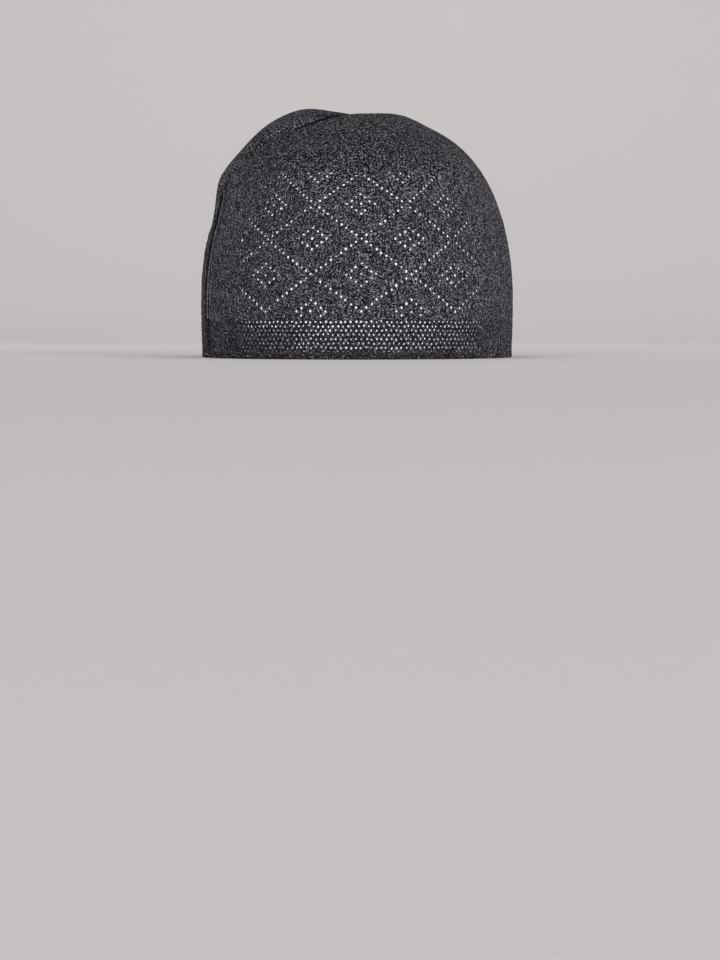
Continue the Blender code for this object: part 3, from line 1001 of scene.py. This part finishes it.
def lay_hem():
    """Sweep the hem's rounded section round the rim, pinched a little by each stitch."""
    count = HEM_STITCHES * HEM_STEPS_PER_STITCH
    turns = np.arange(count) * 2 * pi / count
    rim = cap_point(turns, 1.0)
    ahead = np.roll(rim, -1, axis=0) - np.roll(rim, 1, axis=0)
    outward = np.stack([ahead[:, 1], -ahead[:, 0], np.zeros(count)], axis=1)
    outward /= np.linalg.norm(outward, axis=1, keepdims=True)
    pinch = HEM_PUCKER * np.cos(np.arange(count) * 2 * pi / HEM_STEPS_PER_STITCH)
    rings = []
    for side in range(HEM_SIDES):
        angle = 2 * pi * side / HEM_SIDES
        wide = np.sign(cos(angle)) * abs(cos(angle)) ** (2 / HEM_SQUARENESS)
        high = np.sign(sin(angle)) * abs(sin(angle)) ** (2 / HEM_SQUARENESS)
        reach = HEM_PROUD - HEM_WALL / 2 + wide * (HEM_WALL / 2 + pinch)
        ring = rim + outward * reach[:, None]
        ring[:, 2] = np.clip(HEM_HEIGHT / 2 + high * HEM_HEIGHT / 2 + max(high, 0.0) * pinch, 0.0, None)
        rings.append(ring)
    points = np.stack(rings, axis=1).reshape(-1, 3)
    faces, places = [], []
    for step in range(count):
        after = (step + 1) % count
        for side in range(HEM_SIDES):
            above = (side + 1) % HEM_SIDES
            faces.append((step * HEM_SIDES + side, after * HEM_SIDES + side,
                          after * HEM_SIDES + above, step * HEM_SIDES + above))
            for along, up in ((step, side), (step + 1, side), (step + 1, side + 1), (step, side + 1)):
                places.append((along / HEM_STEPS_PER_STITCH, up * HEM_COURSES_PER_SIDE))
    mesh = bpy.data.meshes.new("turned_hem")
    mesh.from_pydata(points.tolist(), [], faces)
    stitch_map = mesh.uv_layers.new(name="stitches")
    stitch_map.data.foreach_set("uv", np.array(places, np.float32).ravel())
    return mesh


hem_knit = knit_material("hem knit", HEM_LIFT, HEM_FLECK_GAIN, HEM_BUMP, HEM_SLANT)
hem_mesh = lay_hem()
hem_mesh.materials.append(hem_knit)
hem_mesh.shade_smooth()
hem = bpy.data.objects.new("turned_hem", hem_mesh)
bpy.context.scene.collection.objects.link(hem)
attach(hem, "root")
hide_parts("rim_hem")

# The stitches that hold the turned edge, each leaning across it
HEM_SEWN_HEIGHT = 0.0027
HEM_LEAN_TURN, HEM_LEAN_SHARE = 0.004, 0.0022
HEM_SIZE_SPREAD = 0.08
HEM_LOOP_RADIUS = 0.00050
HEM_LOOP_LENGTH, HEM_LOOP_WIDTH = 1.25, 0.55
HEM_YARN_RADIUS = 0.00018

hem_turns = np.arange(HEM_STITCHES) * 2 * pi / HEM_STITCHES
hem_shares = share_at(np.full(HEM_STITCHES, HEM_SEWN_HEIGHT))
hem_chance = np.random.default_rng(RANDOM_SEED + 1)
grown_piece("hem_stitches", stitch_points(
    "hem_stitches", hem_turns, hem_shares, hem_turns + HEM_LEAN_TURN, hem_shares - HEM_LEAN_SHARE,
    hem_chance.normal(1.0, HEM_SIZE_SPREAD, HEM_STITCHES)), loop_tree, {
        "Loop Radius": HEM_LOOP_RADIUS,
        "Yarn Radius": HEM_YARN_RADIUS,
        "Length": HEM_LOOP_LENGTH,
        "Width": HEM_LOOP_WIDTH,
        "Yarn": loop_yarn,
    })


# The room
# A pale paper sweep that is floor and backdrop in one, with soft lights from the front and above.
# Soft lamps in the hollow of the cap show its eyelets as light dots.

SWEEP_FRONT, SWEEP_BACK, SWEEP_HALF_WIDTH, SWEEP_TOP, SWEEP_RADIUS = -4.0, 3.0, 6.0, 5.0, 1.5
SWEEP_STEPS = 24
SWEEP_COLOUR = (0.595, 0.57, 0.565, 1.0)
SWEEP_ROUGHNESS, SWEEP_SPECULAR = 0.95, 0.1
WORLD_COLOUR, WORLD_STRENGTH = (0.98, 0.985, 1.0, 1.0), 0.24

profile = [(SWEEP_FRONT, 0.0)]
for step in range(SWEEP_STEPS + 1):
    angle = step / SWEEP_STEPS * pi / 2
    profile.append((SWEEP_BACK - SWEEP_RADIUS + SWEEP_RADIUS * sin(angle), SWEEP_RADIUS * (1 - cos(angle))))
profile.append((SWEEP_BACK, SWEEP_TOP))
sweep_points = [(x, y, z) for y, z in profile for x in (-SWEEP_HALF_WIDTH, SWEEP_HALF_WIDTH)]
sweep_faces = [(2 * i, 2 * i + 1, 2 * i + 3, 2 * i + 2) for i in range(len(profile) - 1)]
sweep_mesh = bpy.data.meshes.new("floor_sweep")
sweep_mesh.from_pydata(sweep_points, [], sweep_faces)
sweep_mesh.shade_smooth()
sweep = bpy.data.objects.new("floor_sweep", sweep_mesh)
bpy.context.scene.collection.objects.link(sweep)

sweep_paper = bpy.data.materials.new("pale paper")
sweep_paper.use_nodes = True
paper_tree = sweep_paper.node_tree
paper_shader = paper_tree.nodes["Principled BSDF"]
paper_shader.inputs["Base Color"].default_value = SWEEP_COLOUR
paper_shader.inputs["Roughness"].default_value = SWEEP_ROUGHNESS
paper_shader.inputs["Specular IOR Level"].default_value = SWEEP_SPECULAR
sweep_mesh.materials.append(sweep_paper)

world = bpy.data.worlds.new("studio")
world.use_nodes = True
world.node_tree.nodes["Background"].inputs["Color"].default_value = WORLD_COLOUR
world.node_tree.nodes["Background"].inputs["Strength"].default_value = WORLD_STRENGTH
bpy.context.scene.world = world


def soft_light(name, place, aim, width, height, power):
    """A rectangular soft light at a place, facing a point."""
    light = bpy.data.lights.new(name, "AREA")
    light.shape = "RECTANGLE"
    light.size, light.size_y = width, height
    light.energy = power
    lamp = bpy.data.objects.new(name, light)
    lamp.location = place
    lamp.rotation_mode = "QUATERNION"
    lamp.rotation_quaternion = (Vector(aim) - Vector(place)).to_track_quat("-Z", "Y")
    bpy.context.scene.collection.objects.link(lamp)
    return lamp


# A row for each light: name, place, aim, width, height and watts
LightRow = namedtuple("LightRow", "name place aim width height power")
CAP_MIDDLE = (0.0, 0.0, 0.05)
CAP_LIGHTS = (
    LightRow("key", (1.6, -2.1, 0.5), CAP_MIDDLE, 1.4, 1.0, 41.0),
    LightRow("fill", (-1.0, -2.3, 0.6), CAP_MIDDLE, 1.4, 1.0, 24.0),
    LightRow("top", (-0.2, 0.2, 2.1), CAP_MIDDLE, 1.4, 1.2, 3.0),
)
PAPER_LIGHTS = (
    LightRow("paper_floor", (0.0, -0.4, 3.2), (0.0, -0.4, 0.0), 5.0, 4.0, 29.9),
    LightRow("paper_back", (0.0, 0.4, 2.4), (0.0, 3.0, 0.9), 4.0, 1.6, 42.5),
)
for row in CAP_LIGHTS:
    soft_light(*row)
paper_only = bpy.data.collections.new("paper only")
paper_only.objects.link(sweep)
for row in PAPER_LIGHTS:
    soft_light(*row).light_linking.receiver_collection = paper_only

# Lamps in the hollow, back to back, which shine out through the eyelets, the dimmer ones low down;
# share is each one's part of the full radiance
LAMP_RADIANCE = 0.9
LampRow = namedtuple("LampRow", "name place facing width height share")
HOLLOW_LAMPS = (
    LampRow("hollow_front_rim", (0.014, -0.022, 0.0085), (0, -1, 0), 0.092, 0.011, 0.75),
    LampRow("hollow_front_rim_left", (-0.045, -0.022, 0.0085), (0, -1, 0), 0.026, 0.011, 0.35),
    LampRow("hollow_front_low", (0.002, -0.022, 0.0415), (0, -1, 0), 0.120, 0.055, 1.0),
    LampRow("hollow_front_high", (0.002, -0.022, 0.083), (0, -1, 0), 0.096, 0.027, 1.0),
    LampRow("hollow_back_low", (0.0, 0.026, 0.036), (0, 1, 0), 0.120, 0.066, 1.0),
    LampRow("hollow_back_high", (0.0, 0.026, 0.083), (0, 1, 0), 0.096, 0.027, 1.0),
    LampRow("hollow_left", (-0.03, 0.0, 0.045), (-1, 0, 0), 0.09, 0.084, 1.0),
    LampRow("hollow_right", (0.03, 0.0, 0.045), (1, 0, 0), 0.09, 0.084, 1.0),
)
for row in HOLLOW_LAMPS:
    power = LAMP_RADIANCE * row.share * pi * row.width * row.height
    aim = Vector(row.place) + Vector(row.facing)
    soft_light(row.name, row.place, aim, row.width, row.height, power).visible_camera = True


# The view
# The camera sees the front of the cap nearly level, from just above the floor. That is the nearest
# it can come to the photo's view, which looks a little up into the rim.

PHOTO_WIDTH, PHOTO_HEIGHT = 720, 960
RIM_X, RIM_Y = 357, 357
CAP_WIDTH_PIXELS = 310
CAMERA_DISTANCE = 1.10
CAMERA_HEIGHT = 0.014
SENSOR = 36.0
NEAREST_SEEN = 0.01

pixels_per_radian = CAP_WIDTH_PIXELS / (2 * half_width) * CAMERA_DISTANCE
tilt = -atan(CAMERA_HEIGHT / CAMERA_DISTANCE) - atan((PHOTO_HEIGHT / 2 - RIM_Y) / pixels_per_radian)
pan = atan((PHOTO_WIDTH / 2 - RIM_X) / pixels_per_radian)
camera_data = bpy.data.cameras.new("view")
camera_data.sensor_fit = "AUTO"
camera_data.sensor_width = SENSOR
camera_data.lens = pixels_per_radian * SENSOR / PHOTO_HEIGHT
camera_data.clip_start = NEAREST_SEEN
camera = bpy.data.objects.new("view", camera_data)
camera.location = (0.0, -CAMERA_DISTANCE, CAMERA_HEIGHT)
camera.rotation_euler = (pi / 2 + tilt, 0.0, -pan)
bpy.context.scene.collection.objects.link(camera)
bpy.context.scene.camera = camera
bpy.context.scene.view_settings.view_transform = "Standard"
